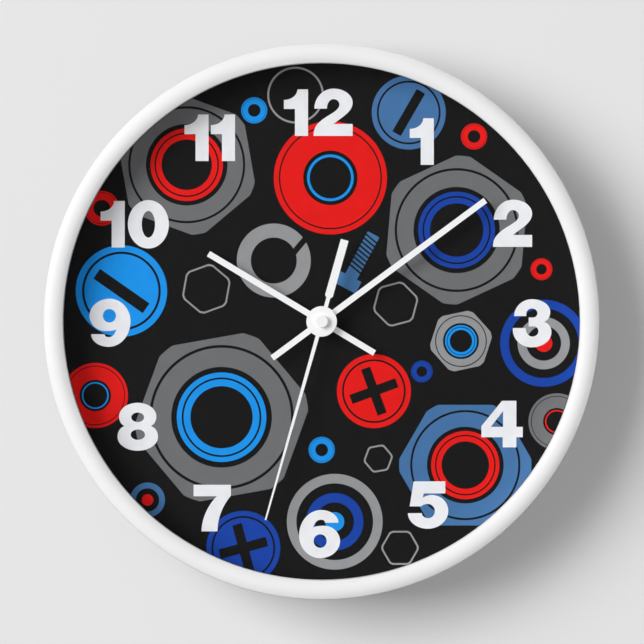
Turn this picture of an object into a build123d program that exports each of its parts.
from build123d import *

import math
import os

# A round quartz wall clock, drawn lying on its back: dial up, twelve o'clock towards +Y.
# All sizes are millimetres, and heights are measured from the wall plane.
# The last step stands it up: twelve o'clock goes to +Z and the dial faces -Y.

# Frame ring, and the stack that drops into it from behind
FRAME_OUTER_R = 127.0
FRAME_WALL = 5.5
LENS_LEDGE = 3.5
LIP_THICKNESS = 3.0
FACE_CROWN = 1.5
FACE_EDGE_ROUND = 0.9
BACK_EDGE_ROUND = 1.2
SEAT_GAP = 0.3
LENS_THICKNESS = 2.0
SPACER_WALL = 2.6
DIAL_THICKNESS = 0.5
BOARD_THICKNESS = 3.0

# Steel points that are driven into the frame wall and hold the board
POINT_COUNT = 6
POINT_WIDTH = 9.0
POINT_REACH = 9.0
POINT_BITE = 3.5
POINT_THICKNESS = 0.6
POINT_GAP = 0.05

# Battery, its bay and its contacts
BATTERY_D = 14.2
BATTERY_LENGTH = 50.0
BATTERY_NUB_R = 2.7
BATTERY_NUB_HEIGHT = 1.2
BATTERY_EDGE_ROUND = 0.6
BAY_GAP = 0.3
BAY_FLOOR = 1.0
CONTACT_THICKNESS = 0.4
CONTACT_GAP = 0.1
CONTACT_TAIL = 3.0
SPRING_BOW = 2.2
SPRING_WIDTH = 7.0
LEAF_RISE = 3.6
FINGER_NOTCH_WIDTH = 18.0
FINGER_NOTCH_DEPTH = 6.0

# Movement case
CASE_ABOVE = 28.0
CASE_WALL = 1.3
CASE_FRONT_WALL = 1.6
CASE_CORNER_R = 4.0
COVER_THICKNESS = 1.3
COVER_EDGE_ROUND = 0.5
COVER_RIB = 1.0
COVER_RIB_HEIGHT = 1.4
CASE_FIT = 0.1
BOSS_WALL = 0.9
BOSS_HEIGHT = 0.9
PILLAR_R = 1.6
PILLAR_PIN_R = 0.8
PILLAR_ANGLES = (110.0, 200.0, 330.0)
PLATE_THICKNESS = 0.8
PLATE_MARGIN = 2.4

# Set knob on the back
KNOB_WALL_GAP = 1.6
KNOB_R = 5.5
KNOB_HEIGHT = 2.2
KNOB_FLUTES = 20
KNOB_FLUTE_R = 0.45
KNOB_CASE_GAP = 0.3
KNOB_SHAFT_R = 1.5
KNOB_PIVOT_R = 0.8

# Gear train: teeth of each wheel and leaves of each pinion
ROTOR_LEAVES = 8
INTERMEDIATE_TEETH = 48
INTERMEDIATE_LEAVES = 10
SECONDS_TEETH = 50
SECONDS_LEAVES = 8
THIRD_TEETH = 60
THIRD_LEAVES = 8
CENTRE_TEETH = 64
CANNON_LEAVES = 10
MOTION_TEETH = 30
MOTION_LEAVES = 8
HOUR_TEETH = 32
KNOB_LEAVES = 10

# Gear train: modules, and the directions from arbor to arbor
ROTOR_MODULE = 0.28
INTERMEDIATE_MODULE = 0.32
SECONDS_MODULE = 0.28
MOTION_MODULE = 0.45
ROTOR_ANGLE = -30.0
INTERMEDIATE_ANGLE = -10.0
THIRD_ANGLE = 150.0
MOTION_ANGLE = 45.0

# Clock teeth in modules: addendum, dedendum, thickness at the pitch circle, width of the tip
WHEEL_TOOTH = (1.05, 1.35, 1.45, 0.55)
PINION_LEAF = (0.75, 1.5, 1.2, 0.5)

# Wheel levels and running clearances
WHEEL_THICKNESS = 0.8
LEVEL_GAP = 0.6
PINION_EXTRA = 0.2
FACE_GAP = 0.4
SLIP_GAP = 0.05
RUN_CLEARANCE = 0.08
PIVOT_CLEARANCE = 0.05
FIT_GAP = 0.02
CHAMBER_GAP = 0.6
WHEEL_HOLES = 4
WHEEL_HOLE_SHARE = 0.3
CLUTCH_HEIGHT = 0.6
CLUTCH_SHEET = 0.2
CLUTCH_R = 4.6
CLUTCH_LEGS = 3
ARBOR_FLANGE_R = 3.0

# Arbors and pipes on the hand axis, from the inside out
PIVOT_R = 0.45
SECONDS_ARBOR_R = 0.55
MINUTE_ARBOR_R = 1.6
HOUR_PIPE_R = 2.5
HOUR_COLLAR_R = 3.3
BUSH_R = 3.9
BUSH_FLANGE_R = 5.5
BUSH_FLANGE = 1.0
BUSH_STANDOUT = 0.5
SHAFT_HOLE_GAP = 0.3

# What the bush passes through, in front of the case
HANGER_SHEET = 0.8
HANGER_WIDTH = 18.0
HANGER_FOOT = 11.0
HANGER_BEND_R = 1.2
HANGER_CASE_GAP = 0.3
HANGER_CORNER_R = 8.6
HANGER_WALL_GAP = 3.0
EYE_R = 4.0
EYE_ABOVE_CASE = 11.0
RUBBER_R = 11.0
RUBBER_THICKNESS = 1.0
WASHER_R = 6.2
WASHER_THICKNESS = 0.5
NUT_FLATS = 10.5
NUT_HEIGHT = 2.4
NUT_CHAMFER = 0.4
NUT_CHAMFER_IN = 0.7

# Stepping motor
MAGNET_R = 2.8
MAGNET_HEIGHT = 2.0
MAGNET_GAP = 0.5
STATOR_SHEET = 1.0
POLE_WIDTH = 1.6
STATOR_ARM = 2.6
CORE_WIDTH = 3.0
LAP_LENGTH = 3.6
COIL_R = 3.2
COIL_LENGTH = 14.0
COIL_FLANGE = 0.8
COIL_BARREL = 0.5
COIL_WALL_GAP = 0.6
SCREW_R = 0.7
SCREW_HEAD_R = 1.4
SCREW_HEAD = 0.8
SCREW_BITE = 4.0
SCREW_POST_R = 1.5

# Circuit board
PCB_THICKNESS = 0.8
PCB_HEIGHT = 6.4
PCB_POST_R = 1.2
PCB_POST_INSET = 8.0
CRYSTAL_R = 1.0
CRYSTAL_LENGTH = 6.2
CHIP_SIDE = 4.4
CHIP_HEIGHT = 1.0
CHIP_OFFSET = 6.0

# Hands, with headings clockwise from twelve
HAND_GAP = 0.5
HAND_SHEET = 0.5
COLLET_HEIGHT = 1.2
COLLET_WALL = 0.9
HAND_BOSS_R = 5.0
HOUR_HEADING = 300.9
HOUR_REACH = 60.5
HOUR_TAIL = 28.2
HOUR_WIDTH = 2.8
MINUTE_HEADING = 53.5
MINUTE_REACH = 93.3
MINUTE_TAIL = 28.2
MINUTE_WIDTH = 2.75
SECOND_HEADING = 195.8
SECOND_REACH = 94.5
SECOND_WIDTH = 1.8
SECOND_TIP_WIDTH = 0.75
SECOND_BOSS_R = 3.4
PADDLE_START = 12.1
PADDLE_SHOULDER = 0.9
PADDLE_END = 38.8
PADDLE_WIDTH = 3.65
CAP_R = 7.0
CAP_DISC = 0.5
CAP_DISC_ROUND = 0.15
CAP_HEIGHT = 3.2
CAP_BUTTON_R = 2.8
CAP_BUTTON_ROUND = 0.15
CAP_PIN_R = 1.8
CAP_PIN_HEIGHT = 0.6
HAND_LENS_GAP = 0.6

# Radii of the frame
rabbet_r = FRAME_OUTER_R - FRAME_WALL
opening_r = rabbet_r - LENS_LEDGE
face_middle_r = (FRAME_OUTER_R + opening_r) / 2
seat_r = rabbet_r - SEAT_GAP

# Heights inside the case, from the wall towards the dial
case_back = KNOB_WALL_GAP + KNOB_HEIGHT + KNOB_CASE_GAP
cover_inside = case_back + COVER_THICKNESS
boss_top = cover_inside + BOSS_HEIGHT
intermediate_low = boss_top + FACE_GAP
seconds_low = intermediate_low + WHEEL_THICKNESS + LEVEL_GAP
third_low = seconds_low + WHEEL_THICKNESS + LEVEL_GAP
plate_low = third_low + WHEEL_THICKNESS + LEVEL_GAP
plate_top = plate_low + PLATE_THICKNESS
flange_low = plate_top + SLIP_GAP
centre_low = flange_low + FACE_GAP + SLIP_GAP
clutch_low = centre_low + WHEEL_THICKNESS + SLIP_GAP
cannon_low = clutch_low + CLUTCH_HEIGHT
motion_low = cannon_low + PINION_EXTRA
hour_low = motion_low + WHEEL_THICKNESS + LEVEL_GAP
hour_top = hour_low + WHEEL_THICKNESS
train_top = hour_top + PINION_EXTRA + FACE_GAP + BUSH_FLANGE

# Heights from the case to the front of the frame
battery_need = case_back + BATTERY_D + BAY_GAP + BAY_FLOOR
case_front = max(battery_need, train_top + CASE_FRONT_WALL)
front_inside = case_front - CASE_FRONT_WALL
bush_low = front_inside - BUSH_FLANGE
hanger_front = case_front + HANGER_SHEET
board_back = hanger_front + RUBBER_THICKNESS
dial_back = board_back + BOARD_THICKNESS
dial_front = dial_back + DIAL_THICKNESS
nut_low = dial_front + WASHER_THICKNESS
bush_top = nut_low + NUT_HEIGHT + BUSH_STANDOUT
hour_collet_low = bush_top + HAND_GAP
hour_hand_top = hour_collet_low + COLLET_HEIGHT + HAND_SHEET
minute_collet_low = hour_hand_top + HAND_GAP
minute_hand_top = minute_collet_low + COLLET_HEIGHT + HAND_SHEET
second_collet_low = minute_hand_top + HAND_GAP
second_hand_top = second_collet_low + COLLET_HEIGHT + HAND_SHEET
lens_back = second_hand_top + CAP_HEIGHT + HAND_LENS_GAP
lens_front = lens_back + LENS_THICKNESS
face_edge = lens_front + LIP_THICKNESS
face_front = face_edge + FACE_CROWN


def polar(distance, degrees, origin=(0.0, 0.0)):
    """A point at a distance and direction from an origin."""
    turn = math.radians(degrees)
    return (origin[0] + distance * math.cos(turn), origin[1] + distance * math.sin(turn))


def mesh_phase(teeth, direction, mate_teeth):
    """Turns a mate so that its teeth sit midway in the gaps of a gear with a tooth at 0 degrees."""
    along = (direction * teeth / 360) % 1
    return direction + 180 - (0.5 - along) * 360 / mate_teeth


# Distances between arbors, and where the arbors stand
rotor_distance = (ROTOR_LEAVES + INTERMEDIATE_TEETH) * ROTOR_MODULE / 2
intermediate_distance = (INTERMEDIATE_LEAVES + SECONDS_TEETH) * INTERMEDIATE_MODULE / 2
third_distance = (SECONDS_LEAVES + THIRD_TEETH) * SECONDS_MODULE / 2
centre_module = 2 * third_distance / (THIRD_LEAVES + CENTRE_TEETH)
motion_distance = (CANNON_LEAVES + MOTION_TEETH) * MOTION_MODULE / 2
hour_module = 2 * motion_distance / (MOTION_LEAVES + HOUR_TEETH)
knob_distance = (MOTION_TEETH + KNOB_LEAVES) * MOTION_MODULE / 2
shaft_at = (0.0, 0.0)
intermediate_at = polar(intermediate_distance, INTERMEDIATE_ANGLE)
rotor_at = polar(rotor_distance, ROTOR_ANGLE, intermediate_at)
third_at = polar(third_distance, THIRD_ANGLE)
motion_at = polar(motion_distance, MOTION_ANGLE)
knob_at = polar(knob_distance, MOTION_ANGLE, motion_at)

# Room in the case: the wheel chamber above, the battery bay below it
pole_r = MAGNET_R + MAGNET_GAP + POLE_WIDTH
centre_tip_r = (CENTRE_TEETH / 2 + WHEEL_TOOTH[0]) * centre_module
seconds_tip_r = (SECONDS_TEETH / 2 + WHEEL_TOOTH[0]) * INTERMEDIATE_MODULE
chamber_below = max(pole_r - rotor_at[1], centre_tip_r, seconds_tip_r) + CHAMBER_GAP
bay_top = -chamber_below - CASE_WALL
bay_bottom = bay_top - BATTERY_D - 2 * BAY_GAP
case_bottom = bay_bottom - CASE_WALL
chamber_top = CASE_ABOVE - CASE_WALL
battery_half = BATTERY_LENGTH / 2 + CONTACT_THICKNESS + CONTACT_GAP + SPRING_BOW / 2
motor_half = rotor_at[0] + STATOR_ARM / 2 + CHAMBER_GAP + 2 * COIL_R + COIL_WALL_GAP
bay_half = max(battery_half, motor_half)
leaf_bow = SPRING_BOW + 2 * (bay_half - battery_half)
case_half = bay_half + CASE_WALL
pillar_distance = centre_tip_r + PILLAR_R + CHAMBER_GAP
pillars_at = [polar(pillar_distance, angle) for angle in PILLAR_ANGLES]

# Stepping motor: the magnet stands over its pinion, and the stator lies at its middle
rotor_pinion_top = intermediate_low + WHEEL_THICKNESS + PINION_EXTRA
magnet_low = rotor_pinion_top + PINION_EXTRA
stator_low = magnet_low + (MAGNET_HEIGHT - STATOR_SHEET) / 2
stator_top = stator_low + STATOR_SHEET
core_top = stator_top + STATOR_SHEET
coil_x = case_half - CASE_WALL - COIL_WALL_GAP - COIL_R
low_lap_y = rotor_at[1] + LAP_LENGTH
coil_low_y = low_lap_y + LAP_LENGTH / 2 + CHAMBER_GAP
high_lap_y = coil_low_y + COIL_LENGTH + CHAMBER_GAP + LAP_LENGTH / 2
laps_at = [(coil_x, low_lap_y), (coil_x, high_lap_y)]

# Circuit board across the top of the chamber, in front of the coil
pcb_low = max(core_top + COIL_R, cannon_low) + FACE_GAP
pcb_top = pcb_low + PCB_THICKNESS
pcb_half = case_half - CASE_WALL - CONTACT_GAP
pcb_top_y = chamber_top - CASE_FIT
pcb_middle_y = pcb_top_y - PCB_HEIGHT / 2


def bar(radius, low, high, centre=shaft_at):
    """A round bar standing between two heights."""
    return Pos(centre[0], centre[1], low) * extrude(Circle(radius), high - low)


def tube(outer, inner, low, high, centre=shaft_at):
    """A round tube standing between two heights."""
    return Pos(centre[0], centre[1], low) * extrude(Circle(outer) - Circle(inner), high - low)


def block(x_range, y_range, z_range):
    """A plain block between pairs of limits."""
    size = [high - low for low, high in (x_range, y_range, z_range)]
    middle = [(high + low) / 2 for low, high in (x_range, y_range, z_range)]
    return Pos(*middle) * Box(*size)


def gear(teeth, module, phase, tooth, low, high, centre=shaft_at):
    """A toothed disc: radial flanks up to the pitch circle, tapered points above it."""
    addendum, dedendum, thickness, tip_width = tooth
    pitch_r = teeth * module / 2
    tip_r = pitch_r + addendum * module
    root_r = pitch_r - dedendum * module
    half = thickness * module / 2 / pitch_r
    tip_half = tip_width * module / 2 / tip_r
    outline = (
        (root_r, -half),
        (pitch_r, -half),
        (tip_r, -tip_half),
        (tip_r, tip_half),
        (pitch_r, half),
        (root_r, half),
    )
    points = []
    for number in range(teeth):
        middle = math.radians(phase + number * 360 / teeth)
        for radius, turn in outline:
            points.append((radius * math.cos(middle + turn), radius * math.sin(middle + turn)))
    face = make_face(Polyline(*points, close=True))
    return Pos(centre[0], centre[1], low) * extrude(face, high - low)


def wheel(teeth, module, hub_r, low, centre=shaft_at):
    """A wheel with a tooth at 0 degrees, and a ring of round holes midway from hub to teeth."""
    body = gear(teeth, module, 0, WHEEL_TOOTH, low, low + WHEEL_THICKNESS, centre)
    root_r = (teeth / 2 - WHEEL_TOOTH[1]) * module
    hole_r = (root_r - hub_r) * WHEEL_HOLE_SHARE
    for number in range(WHEEL_HOLES):
        hole_at = polar((root_r + hub_r) / 2, number * 360 / WHEEL_HOLES, centre)
        body -= bar(hole_r, low, low + WHEEL_THICKNESS, hole_at)
    return body


def leaf_tip_r(leaves, module):
    """The outer radius of a pinion."""
    return (leaves / 2 + PINION_LEAF[0]) * module


# Frame, lens and dial


def make_frame_ring():
    """A turned ring: a low crowned face in front, a ledge for the lens, straight walls behind."""
    corners = Polyline(
        (opening_r, face_edge),
        (opening_r, lens_front),
        (rabbet_r, lens_front),
        (rabbet_r, 0),
        (FRAME_OUTER_R, 0),
        (FRAME_OUTER_R, face_edge),
    )
    crown = ThreePointArc(
        (FRAME_OUTER_R, face_edge),
        (face_middle_r, face_front),
        (opening_r, face_edge),
    )
    section = make_face([corners, crown])
    section = fillet(section.vertices().group_by(Axis.Y)[-1], FACE_EDGE_ROUND)
    back_corner = section.vertices().group_by(Axis.Y)[0].sort_by(Axis.X)[-1]
    section = fillet(back_corner, BACK_EDGE_ROUND)
    ring = revolve(Plane.XZ * section, Axis.Z)
    for point in retaining_point_solids(POINT_GAP):
        ring -= point
    return ring


def retaining_point_solids(grow):
    """The points as solids, each grown by a clearance."""
    inner = rabbet_r - POINT_REACH - grow
    outer = rabbet_r + POINT_BITE + grow
    half = POINT_WIDTH / 2 + grow
    outline = make_face(
        Polyline(
            (inner, -half),
            (outer - half, -half),
            (outer, 0),
            (outer - half, half),
            (inner, half),
            close=True,
        )
    )
    low = board_back - POINT_THICKNESS - grow
    blade = Pos(0, 0, low) * extrude(outline, POINT_THICKNESS + grow)
    return [Rot(0, 0, (number + 0.5) * 360 / POINT_COUNT) * blade for number in range(POINT_COUNT)]


def make_retaining_points():
    return Compound(retaining_point_solids(0.0))


def make_lens():
    return bar(seat_r, lens_back, lens_front)


def make_spacer_ring():
    return tube(seat_r, seat_r - SPACER_WALL, dial_front, lens_back)


def make_dial():
    return tube(seat_r, BUSH_R + SHAFT_HOLE_GAP, dial_back, dial_front)


def make_backing_board():
    return tube(seat_r, BUSH_R + SHAFT_HOLE_GAP, board_back, dial_back)


# What clamps the movement to the board


def make_threaded_bush():
    bore = HOUR_PIPE_R + RUN_CLEARANCE
    flange = tube(BUSH_FLANGE_R, bore, bush_low, front_inside)
    return flange + tube(BUSH_R, bore, bush_low, bush_top)


def make_rubber_washer():
    return tube(RUBBER_R, BUSH_R + SHAFT_HOLE_GAP, hanger_front, board_back)


def make_flat_washer():
    return tube(WASHER_R, BUSH_R + SHAFT_HOLE_GAP, dial_front, nut_low)


def make_hex_nut():
    """A hexagon whose corners are turned down to a cone on both faces."""
    corner_r = NUT_FLATS / math.sqrt(3)
    blank = chamfer(bar(corner_r, nut_low, nut_low + NUT_HEIGHT).edges(), NUT_CHAMFER, NUT_CHAMFER_IN)
    outline = RegularPolygon(corner_r, 6) - Circle(BUSH_R + FIT_GAP)
    return blank & Pos(0, 0, nut_low) * extrude(outline, NUT_HEIGHT)


def make_hanger():
    """A sheet strip: flat under the board, bent back over the case, then up to a round eye."""
    flat_z = case_front + HANGER_SHEET / 2
    drop_y = CASE_ABOVE + HANGER_CASE_GAP + HANGER_BEND_R
    eye_z = HANGER_WALL_GAP + HANGER_SHEET / 2
    eye_y = CASE_ABOVE + EYE_ABOVE_CASE
    path = FilletPolyline(
        (-HANGER_FOOT, flat_z),
        (drop_y, flat_z),
        (drop_y, eye_z),
        (eye_y + HANGER_WIDTH / 2, eye_z),
        radius=HANGER_BEND_R,
    )
    strip = extrude(Plane.YZ * trace(path, HANGER_SHEET), HANGER_WIDTH / 2, both=True)
    end_corners = strip.edges().filter_by(Axis.Z).group_by(Axis.Y)
    strip = fillet(end_corners[-1] + end_corners[0], HANGER_CORNER_R)
    strip -= bar(BUSH_R + SHAFT_HOLE_GAP, case_front, hanger_front)
    return strip - bar(EYE_R, HANGER_WALL_GAP, HANGER_WALL_GAP + HANGER_SHEET, (0.0, eye_y))


# Movement case


def case_outline():
    """The rounded square of the case."""
    height = CASE_ABOVE - case_bottom
    return Pos(0, case_bottom + height / 2) * RectangleRounded(2 * case_half, height, CASE_CORNER_R)


def tail_range(side):
    """Where a contact's strip lies against the side wall: -1 is left, 1 is right."""
    return sorted((side * bay_half, side * (bay_half - CONTACT_THICKNESS)))


def make_movement_base():
    """The front half of the case: front wall, side walls, battery bay, and the posts inside."""
    base = Pos(0, 0, case_back) * extrude(case_outline(), case_front - case_back)
    inside = (-bay_half, bay_half)
    base -= block((-case_half, case_half), (bay_top, CASE_ABOVE), (case_back, cover_inside))
    base -= block(inside, (-chamber_below, chamber_top), (case_back, front_inside))
    base -= block(inside, (bay_bottom, bay_top), (case_back, case_front - BAY_FLOOR))
    notch_half = FINGER_NOTCH_WIDTH / 2
    notch_top = case_back + FINGER_NOTCH_DEPTH
    base -= block((-notch_half, notch_half), (case_bottom, bay_bottom), (case_back, notch_top))
    for side in (-1, 1):
        low_x, high_x = tail_range(side)
        notch_x = (low_x - CASE_FIT, high_x) if side > 0 else (low_x, high_x + CASE_FIT)
        base -= block(notch_x, (bay_top, -chamber_below), (cover_inside, pcb_low + CASE_FIT))
    base -= bar(BUSH_R + FIT_GAP, front_inside, case_front)
    for pillar_at in pillars_at:
        base += bar(PILLAR_R, plate_top, front_inside, pillar_at)
        base += bar(PILLAR_PIN_R, plate_low, plate_top, pillar_at)
    for lap_at in laps_at:
        base += bar(SCREW_POST_R, core_top, front_inside, lap_at)
        base -= bar(SCREW_R + FIT_GAP, core_top, core_top + SCREW_BITE, lap_at)
    for side in (-1, 1):
        post_at = (side * (pcb_half - PCB_POST_INSET), pcb_middle_y)
        base += bar(PCB_POST_R, pcb_top, front_inside, post_at)
    third_boss_low = hour_top + FACE_GAP
    third_hole_r = PIVOT_R + PIVOT_CLEARANCE
    base += tube(third_hole_r + BOSS_WALL, third_hole_r, third_boss_low, front_inside, third_at)
    shoulder_low = hour_top + PINION_EXTRA + FACE_GAP
    base += bar(PIVOT_R + BOSS_WALL, shoulder_low, front_inside, motion_at)
    base += bar(PIVOT_R, motion_low, front_inside, motion_at)
    knob_boss_low = motion_low + WHEEL_THICKNESS + PINION_EXTRA + FACE_GAP
    knob_hole_r = KNOB_PIVOT_R + PIVOT_CLEARANCE
    return base + tube(knob_hole_r + BOSS_WALL, knob_hole_r, knob_boss_low, front_inside, knob_at)


def make_movement_cover():
    """The lid behind the wheels, with a boss for each rear pivot and a hole for the set shaft."""
    lid_range = ((-case_half, case_half), (bay_top, CASE_ABOVE), (case_back, cover_inside))
    cover = Pos(0, 0, case_back) * extrude(case_outline(), COVER_THICKNESS)
    cover &= block(*lid_range)
    cover = fillet(cover.faces().sort_by(Axis.Z)[0].edges(), COVER_EDGE_ROUND)
    rib_half = bay_half - CASE_CORNER_R
    rib_top = cover_inside + COVER_RIB_HEIGHT
    for rib_low_y in (-chamber_below + CASE_FIT, chamber_top - CASE_FIT - COVER_RIB):
        rib_y = (rib_low_y, rib_low_y + COVER_RIB)
        cover += block((-rib_half, rib_half), rib_y, (cover_inside, rib_top))
    rear_pivots = (
        (shaft_at, SECONDS_ARBOR_R),
        (intermediate_at, PIVOT_R),
        (rotor_at, PIVOT_R),
    )
    for pivot_at, pivot_r in rear_pivots:
        hole_r = pivot_r + PIVOT_CLEARANCE
        cover += tube(hole_r + BOSS_WALL, hole_r, cover_inside, boss_top, pivot_at)
    shaft_hole_r = KNOB_SHAFT_R + RUN_CLEARANCE
    cover += bar(shaft_hole_r + BOSS_WALL, cover_inside, boss_top, knob_at)
    return cover - bar(shaft_hole_r, case_back, boss_top, knob_at)


def make_middle_plate():
    """The plate between the two halves of the train, on three pillars."""
    stands = [shaft_at, third_at, intermediate_at, rotor_at, *pillars_at]
    discs = Sketch() + [Pos(*at) * Circle(PLATE_MARGIN) for at in stands]
    plate = Pos(0, 0, plate_low) * extrude(make_hull(discs.edges()), PLATE_THICKNESS)
    plate -= bar(MINUTE_ARBOR_R + RUN_CLEARANCE, plate_low, plate_top)
    for pivot_at in (third_at, intermediate_at, rotor_at):
        plate -= bar(PIVOT_R + PIVOT_CLEARANCE, plate_low, plate_top, pivot_at)
    for pillar_at in pillars_at:
        plate -= bar(PILLAR_PIN_R + FIT_GAP, plate_low, plate_top, pillar_at)
    return plate


# Stepping motor and its drive


def make_stator():
    """Two pole arms that run from a ring round the magnet to the ends of the coil core."""
    arm_half = STATOR_ARM / 2
    lap_half = LAP_LENGTH / 2
    pole_x, pole_y = rotor_at
    core_edge = coil_x + CORE_WIDTH / 2
    sheet = (stator_low, stator_top)
    hole_r = MAGNET_R + MAGNET_GAP
    stator = bar(pole_r, stator_low, stator_top, rotor_at)
    stator += block((pole_x - arm_half, pole_x + arm_half), (pole_y, high_lap_y + lap_half), sheet)
    stator += block((pole_x, core_edge), (high_lap_y - lap_half, high_lap_y + lap_half), sheet)
    stator += block((pole_x, core_edge), (pole_y - arm_half, low_lap_y - lap_half), sheet)
    stator += block(
        (coil_x - CORE_WIDTH / 2, core_edge),
        (pole_y - arm_half, low_lap_y + lap_half),
        sheet,
    )
    stator -= bar(hole_r, stator_low, stator_top, rotor_at)
    for lap_at in laps_at:
        stator -= bar(SCREW_R + FIT_GAP, stator_low, stator_top, lap_at)
    return stator


def make_coil_core():
    y_range = (low_lap_y - LAP_LENGTH / 2, high_lap_y + LAP_LENGTH / 2)
    x_range = (coil_x - CORE_WIDTH / 2, coil_x + CORE_WIDTH / 2)
    core = block(x_range, y_range, (stator_top, core_top))
    for lap_at in laps_at:
        core -= bar(SCREW_R + FIT_GAP, stator_top, core_top, lap_at)
    return core


def along_coil(sketch, start, length):
    """Extrudes a section along the coil's axis, which runs up the case."""
    middle_z = stator_top + STATOR_SHEET / 2
    plane = Plane((coil_x, coil_low_y + start, middle_z), x_dir=(1, 0, 0), z_dir=(0, 1, 0))
    return extrude(plane * sketch, length)


def core_hole():
    return Rectangle(CORE_WIDTH + 2 * FIT_GAP, STATOR_SHEET + 2 * FIT_GAP)


def make_coil_bobbin():
    """A barrel with two flanges, and a slot that fits the core."""
    barrel = Circle(CORE_WIDTH / 2 + COIL_BARREL)
    bobbin = along_coil(barrel, 0, COIL_LENGTH)
    bobbin += along_coil(Circle(COIL_R), 0, COIL_FLANGE)
    bobbin += along_coil(Circle(COIL_R), COIL_LENGTH - COIL_FLANGE, COIL_FLANGE)
    return bobbin - along_coil(core_hole(), 0, COIL_LENGTH)


def make_coil_winding():
    section = Circle(COIL_R - CASE_FIT) - Circle(CORE_WIDTH / 2 + COIL_BARREL + FIT_GAP)
    length = COIL_LENGTH - 2 * COIL_FLANGE - 2 * FIT_GAP
    return along_coil(section, COIL_FLANGE + FIT_GAP, length)


def make_stator_screws():
    """Two screws that clamp stator and core to their posts."""
    screws = []
    for lap_at in laps_at:
        head = bar(SCREW_HEAD_R, stator_low - SCREW_HEAD, stator_low, lap_at)
        shank = bar(SCREW_R, stator_low, core_top + SCREW_BITE - FIT_GAP, lap_at)
        screws.append(head + shank)
    return Compound(screws)


def make_circuit_board():
    """A strip across the top of the chamber; both contacts end under its back."""
    y_range = (pcb_top_y - PCB_HEIGHT, pcb_top_y)
    return block((-pcb_half, pcb_half), y_range, (pcb_low, pcb_top))


def make_quartz_crystal():
    lying = Rot(0, 90, 0) * extrude(Circle(CRYSTAL_R), CRYSTAL_LENGTH)
    return Pos(-CHIP_OFFSET - CRYSTAL_LENGTH, pcb_middle_y, pcb_low - CRYSTAL_R) * lying


def make_driver_chip():
    half = CHIP_SIDE / 2
    x_range = (CHIP_OFFSET - half, CHIP_OFFSET + half)
    y_range = (pcb_middle_y - half, pcb_middle_y + half)
    return block(x_range, y_range, (pcb_low - CHIP_HEIGHT, pcb_low))


# Battery and contacts


def contact_sheet(side):
    """A flat stamped contact: a plate at the end of the bay, and a strip up to the circuit board."""
    x_range = tail_range(side)
    plate_y = (bay_bottom + BAY_GAP, bay_top - BAY_GAP)
    plate = block(x_range, plate_y, (pcb_low - 2 * CONTACT_TAIL, pcb_low))
    strip_y = (bay_top - BAY_GAP, pcb_middle_y)
    return plate + block(x_range, strip_y, (pcb_low - CONTACT_TAIL, pcb_low))


def make_positive_contact():
    return contact_sheet(-1)


def make_negative_contact():
    """The right-hand sheet, with a bowed leaf that presses on the battery and has one free end."""
    face_x = bay_half - CONTACT_THICKNESS
    root_x = face_x + CONTACT_THICKNESS / 2
    free_x = face_x - CONTACT_THICKNESS
    tip_x = face_x - leaf_bow + CONTACT_THICKNESS / 2
    leaf_low = case_back + BATTERY_D / 2 - LEAF_RISE / 2
    leaf_high = leaf_low + LEAF_RISE
    bow = FilletPolyline(
        (root_x, leaf_high),
        (tip_x, leaf_high),
        (tip_x, leaf_low),
        (free_x, leaf_low),
        radius=LEAF_RISE / 3,
    )
    leaf = extrude(Plane.XZ * trace(bow, CONTACT_THICKNESS), SPRING_WIDTH / 2, both=True)
    return contact_sheet(1) + Pos(0, (bay_top + bay_bottom) / 2) * leaf


def make_battery():
    """A round cell on its side, flush with the back of the case, its nub to the left."""
    can_length = BATTERY_LENGTH - BATTERY_NUB_HEIGHT
    can = fillet(extrude(Circle(BATTERY_D / 2), can_length).edges(), BATTERY_EDGE_ROUND)
    cell = can + Pos(0, 0, -BATTERY_NUB_HEIGHT) * extrude(Circle(BATTERY_NUB_R), BATTERY_LENGTH / 2)
    nub_x = -bay_half + CONTACT_THICKNESS + CONTACT_GAP
    middle = (nub_x + BATTERY_NUB_HEIGHT, (bay_top + bay_bottom) / 2, case_back + BATTERY_D / 2)
    return Pos(*middle) * Rot(0, 90, 0) * cell


# Train that the motor drives


def make_rotor_magnet():
    return tube(MAGNET_R, PIVOT_R + FIT_GAP, magnet_low, magnet_low + MAGNET_HEIGHT, rotor_at)


def make_rotor_pinion():
    """A pinion on its arbor, which runs from the cover to the middle plate."""
    phase = mesh_phase(INTERMEDIATE_TEETH, ROTOR_ANGLE, ROTOR_LEAVES)
    low = intermediate_low - PINION_EXTRA
    leaves = gear(ROTOR_LEAVES, ROTOR_MODULE, phase, PINION_LEAF, low, magnet_low, rotor_at)
    return leaves + bar(PIVOT_R, cover_inside + SLIP_GAP, plate_top, rotor_at)


def make_intermediate_wheel():
    """A wheel and pinion on one arbor, which runs from the cover to the middle plate."""
    phase = mesh_phase(SECONDS_TEETH, INTERMEDIATE_ANGLE, INTERMEDIATE_LEAVES)
    top = seconds_low + WHEEL_THICKNESS + PINION_EXTRA
    hub_r = leaf_tip_r(INTERMEDIATE_LEAVES, INTERMEDIATE_MODULE)
    body = wheel(INTERMEDIATE_TEETH, ROTOR_MODULE, hub_r, intermediate_low, intermediate_at)
    body += gear(
        INTERMEDIATE_LEAVES,
        INTERMEDIATE_MODULE,
        phase,
        PINION_LEAF,
        intermediate_low + WHEEL_THICKNESS,
        top,
        intermediate_at,
    )
    return body + bar(PIVOT_R, cover_inside + SLIP_GAP, plate_top, intermediate_at)


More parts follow.
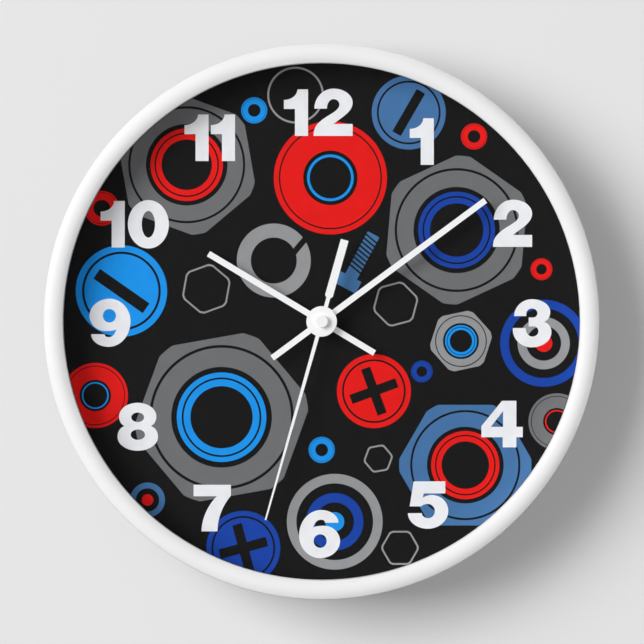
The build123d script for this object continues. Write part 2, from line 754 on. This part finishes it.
def make_seconds_wheel():
    """The wheel and pinion that sit on the seconds arbor."""
    phase = mesh_phase(THIRD_TEETH, THIRD_ANGLE + 180, SECONDS_LEAVES)
    pinion_low = seconds_low + WHEEL_THICKNESS
    pinion_top = third_low + WHEEL_THICKNESS + PINION_EXTRA
    hub_r = leaf_tip_r(SECONDS_LEAVES, SECONDS_MODULE)
    body = wheel(SECONDS_TEETH, INTERMEDIATE_MODULE, hub_r, seconds_low)
    body += gear(SECONDS_LEAVES, SECONDS_MODULE, phase, PINION_LEAF, pinion_low, pinion_top)
    return body - bar(SECONDS_ARBOR_R + FIT_GAP, seconds_low, pinion_top)


def make_seconds_arbor():
    """A thin arbor from the cover, through the minute arbor, to the second hand."""
    return bar(SECONDS_ARBOR_R, cover_inside + SLIP_GAP, second_hand_top - HAND_SHEET)


def make_third_wheel():
    """A wheel behind the middle plate, with its pinion in front of the plate."""
    phase = mesh_phase(CENTRE_TEETH, THIRD_ANGLE, THIRD_LEAVES)
    low = centre_low - PINION_EXTRA
    top = centre_low + WHEEL_THICKNESS + PINION_EXTRA
    hub_r = leaf_tip_r(THIRD_LEAVES, centre_module)
    body = wheel(THIRD_TEETH, SECONDS_MODULE, hub_r, third_low, third_at)
    body += gear(THIRD_LEAVES, centre_module, phase, PINION_LEAF, low, top, third_at)
    return body + bar(PIVOT_R, third_low, front_inside - SLIP_GAP, third_at)


# Train that turns the hands


def make_centre_wheel():
    """The wheel that the clutch holds against the minute arbor's flange."""
    top = centre_low + WHEEL_THICKNESS
    body = wheel(CENTRE_TEETH, centre_module, ARBOR_FLANGE_R, centre_low)
    return body - bar(MINUTE_ARBOR_R + RUN_CLEARANCE, centre_low, top)


def make_minute_arbor():
    """A tube with a flange behind the centre wheel and the cannon pinion in front of it."""
    phase = mesh_phase(MOTION_TEETH, MOTION_ANGLE + 180, CANNON_LEAVES)
    cannon_top = motion_low + WHEEL_THICKNESS + PINION_EXTRA
    body = bar(MINUTE_ARBOR_R, plate_low, minute_hand_top)
    body += bar(ARBOR_FLANGE_R, flange_low, flange_low + FACE_GAP)
    body += gear(CANNON_LEAVES, MOTION_MODULE, phase, PINION_LEAF, cannon_low, cannon_top)
    return body - bar(SECONDS_ARBOR_R + RUN_CLEARANCE, plate_low, minute_hand_top)


def make_clutch_spring():
    """A coned spring washer cut into legs, between the cannon pinion and the centre wheel."""
    inner = MINUTE_ARBOR_R + FIT_GAP
    top = clutch_low + CLUTCH_HEIGHT
    section = Polyline(
        (inner, top),
        (inner, top - CLUTCH_SHEET),
        (CLUTCH_R, clutch_low),
        (CLUTCH_R, clutch_low + CLUTCH_SHEET),
        close=True,
    )
    washer = revolve(Plane.XZ * make_face(section), Axis.Z)
    hub_r = (inner + CLUTCH_R) / 2
    gap = Pos(0, 0, clutch_low) * extrude(
        Pos(hub_r + CLUTCH_R / 2, 0) * Rectangle(CLUTCH_R, CLUTCH_R / 2), CLUTCH_HEIGHT
    )
    for number in range(CLUTCH_LEGS):
        washer -= Rot(0, 0, number * 360 / CLUTCH_LEGS) * gap
    return washer


def make_motion_wheel():
    """A wheel and pinion that turn on a post of the base."""
    phase = mesh_phase(HOUR_TEETH, MOTION_ANGLE, MOTION_LEAVES)
    pinion_low = motion_low + WHEEL_THICKNESS
    pinion_top = hour_top + PINION_EXTRA
    hub_r = leaf_tip_r(MOTION_LEAVES, hour_module)
    body = wheel(MOTION_TEETH, MOTION_MODULE, hub_r, motion_low, motion_at)
    body += gear(MOTION_LEAVES, hour_module, phase, PINION_LEAF, pinion_low, pinion_top, motion_at)
    return body - bar(PIVOT_R + PIVOT_CLEARANCE, motion_low, pinion_top, motion_at)


def make_hour_wheel():
    """A wheel with a collar and the pipe that carries the hour hand."""
    body = wheel(HOUR_TEETH, hour_module, HOUR_COLLAR_R, hour_low)
    body += bar(HOUR_COLLAR_R, hour_low, bush_low - SLIP_GAP)
    body += bar(HOUR_PIPE_R, hour_low, hour_hand_top)
    return body - bar(MINUTE_ARBOR_R + RUN_CLEARANCE, hour_low, hour_hand_top)


def make_set_pinion():
    """The set shaft: a pinion on the motion wheel, a pivot in the base, an end for the knob."""
    phase = mesh_phase(MOTION_TEETH, MOTION_ANGLE, KNOB_LEAVES)
    top = motion_low + WHEEL_THICKNESS + PINION_EXTRA
    body = gear(KNOB_LEAVES, MOTION_MODULE, phase, PINION_LEAF, cannon_low, top, knob_at)
    body += bar(KNOB_SHAFT_R, KNOB_WALL_GAP + KNOB_HEIGHT / 2, cannon_low, knob_at)
    return body + bar(KNOB_PIVOT_R, top, front_inside - SLIP_GAP, knob_at)


def make_set_knob():
    """A fluted knob that fits on the end of the set shaft."""
    top = KNOB_WALL_GAP + KNOB_HEIGHT
    knob = bar(KNOB_R, KNOB_WALL_GAP, top, knob_at)
    for number in range(KNOB_FLUTES):
        flute_at = polar(KNOB_R, number * 360 / KNOB_FLUTES, knob_at)
        knob -= bar(KNOB_FLUTE_R, KNOB_WALL_GAP, top, flute_at)
    return knob - bar(KNOB_SHAFT_R + FIT_GAP, KNOB_WALL_GAP + KNOB_HEIGHT / 2, top, knob_at)


# Hands


def straight_hand(heading, reach, tail, width, arbor_r, collet_low):
    """A baton hand with a boss, on a collet that fits its arbor."""
    blade_low = collet_low + COLLET_HEIGHT
    baton = Pos(0, (reach - tail) / 2) * Rectangle(width, reach + tail)
    blade = Pos(0, 0, blade_low) * extrude(baton + Circle(HAND_BOSS_R), HAND_SHEET)
    hand = blade + bar(arbor_r + COLLET_WALL, collet_low, blade_low)
    hand -= bar(arbor_r + FIT_GAP, collet_low, blade_low + HAND_SHEET)
    return Rot(0, 0, -heading) * hand


def make_hour_hand():
    return straight_hand(
        HOUR_HEADING, HOUR_REACH, HOUR_TAIL, HOUR_WIDTH, HOUR_PIPE_R, hour_collet_low
    )


def make_minute_hand():
    return straight_hand(
        MINUTE_HEADING, MINUTE_REACH, MINUTE_TAIL, MINUTE_WIDTH, MINUTE_ARBOR_R, minute_collet_low
    )


def make_second_hand():
    """A tapered needle with a paddle for a counterweight, joined to it by sloped shoulders."""
    blade_low = second_hand_top - HAND_SHEET
    root = SECOND_WIDTH / 2
    tip = SECOND_TIP_WIDTH / 2
    paddle = PADDLE_WIDTH / 2
    neck_end = PADDLE_SHOULDER - PADDLE_START
    blade = make_face(
        Polyline(
            (-tip, SECOND_REACH),
            (-root, 0),
            (-root, neck_end),
            (-paddle, -PADDLE_START),
            (-paddle, -PADDLE_END),
            (paddle, -PADDLE_END),
            (paddle, -PADDLE_START),
            (root, neck_end),
            (root, 0),
            (tip, SECOND_REACH),
            close=True,
        )
    )
    hand = Pos(0, 0, blade_low) * extrude(blade + Circle(SECOND_BOSS_R), HAND_SHEET)
    hand += bar(SECONDS_ARBOR_R + COLLET_WALL, second_collet_low, blade_low)
    hand -= bar(SECONDS_ARBOR_R + FIT_GAP, second_collet_low, blade_low)
    hand += bar(CAP_PIN_R, second_hand_top, second_hand_top + CAP_PIN_HEIGHT)
    return Rot(0, 0, -SECOND_HEADING) * hand


def make_hub_cap():
    """A thin disc with a round button on it, pressed on the second hand's pin."""
    top = second_hand_top + CAP_HEIGHT
    disc_top = second_hand_top + CAP_DISC
    section = make_face(
        Polyline(
            (0, second_hand_top),
            (CAP_R, second_hand_top),
            (CAP_R, disc_top),
            (CAP_BUTTON_R, disc_top),
            (CAP_BUTTON_R, top),
            (0, top),
            close=True,
        )
    )
    disc_corner = section.vertices().group_by(Axis.X)[-1].sort_by(Axis.Y)[-1]
    section = fillet(disc_corner, CAP_DISC_ROUND)
    button_corner = section.vertices().group_by(Axis.Y)[-1].sort_by(Axis.X)[-1]
    section = fillet(button_corner, CAP_BUTTON_ROUND)
    cap = revolve(Plane.XZ * section, Axis.Z)
    return cap - bar(CAP_PIN_R + FIT_GAP, second_hand_top, second_hand_top + CAP_PIN_HEIGHT)


MAKERS = {
    "frame_ring": make_frame_ring,
    "lens": make_lens,
    "spacer_ring": make_spacer_ring,
    "dial": make_dial,
    "backing_board": make_backing_board,
    "retaining_points": make_retaining_points,
    "threaded_bush": make_threaded_bush,
    "rubber_washer": make_rubber_washer,
    "flat_washer": make_flat_washer,
    "hex_nut": make_hex_nut,
    "hanger": make_hanger,
    "movement_base": make_movement_base,
    "movement_cover": make_movement_cover,
    "middle_plate": make_middle_plate,
    "stator": make_stator,
    "coil_core": make_coil_core,
    "coil_bobbin": make_coil_bobbin,
    "coil_winding": make_coil_winding,
    "stator_screws": make_stator_screws,
    "circuit_board": make_circuit_board,
    "quartz_crystal": make_quartz_crystal,
    "driver_chip": make_driver_chip,
    "positive_contact": make_positive_contact,
    "negative_contact": make_negative_contact,
    "battery": make_battery,
    "rotor_magnet": make_rotor_magnet,
    "rotor_pinion": make_rotor_pinion,
    "intermediate_wheel": make_intermediate_wheel,
    "seconds_wheel": make_seconds_wheel,
    "seconds_arbor": make_seconds_arbor,
    "third_wheel": make_third_wheel,
    "centre_wheel": make_centre_wheel,
    "minute_arbor": make_minute_arbor,
    "clutch_spring": make_clutch_spring,
    "motion_wheel": make_motion_wheel,
    "hour_wheel": make_hour_wheel,
    "set_pinion": make_set_pinion,
    "set_knob": make_set_knob,
    "hour_hand": make_hour_hand,
    "minute_hand": make_minute_hand,
    "second_hand": make_second_hand,
    "hub_cap": make_hub_cap,
}

stand_up = Rot(90, 0, 0)
os.makedirs("parts", exist_ok=True)
for name, make in MAKERS.items():
    export_step(stand_up * make(), f"parts/{name}.step")

print("depth from the wall:", round(face_front, 2))
print("case:", round(2 * case_half, 2), "wide,", round(CASE_ABOVE - case_bottom, 2), "high")
print("shaft to rotor, third, motion, set arbor:", rotor_at, third_at, motion_at, knob_at)
print("intermediate arbor:", intermediate_at)
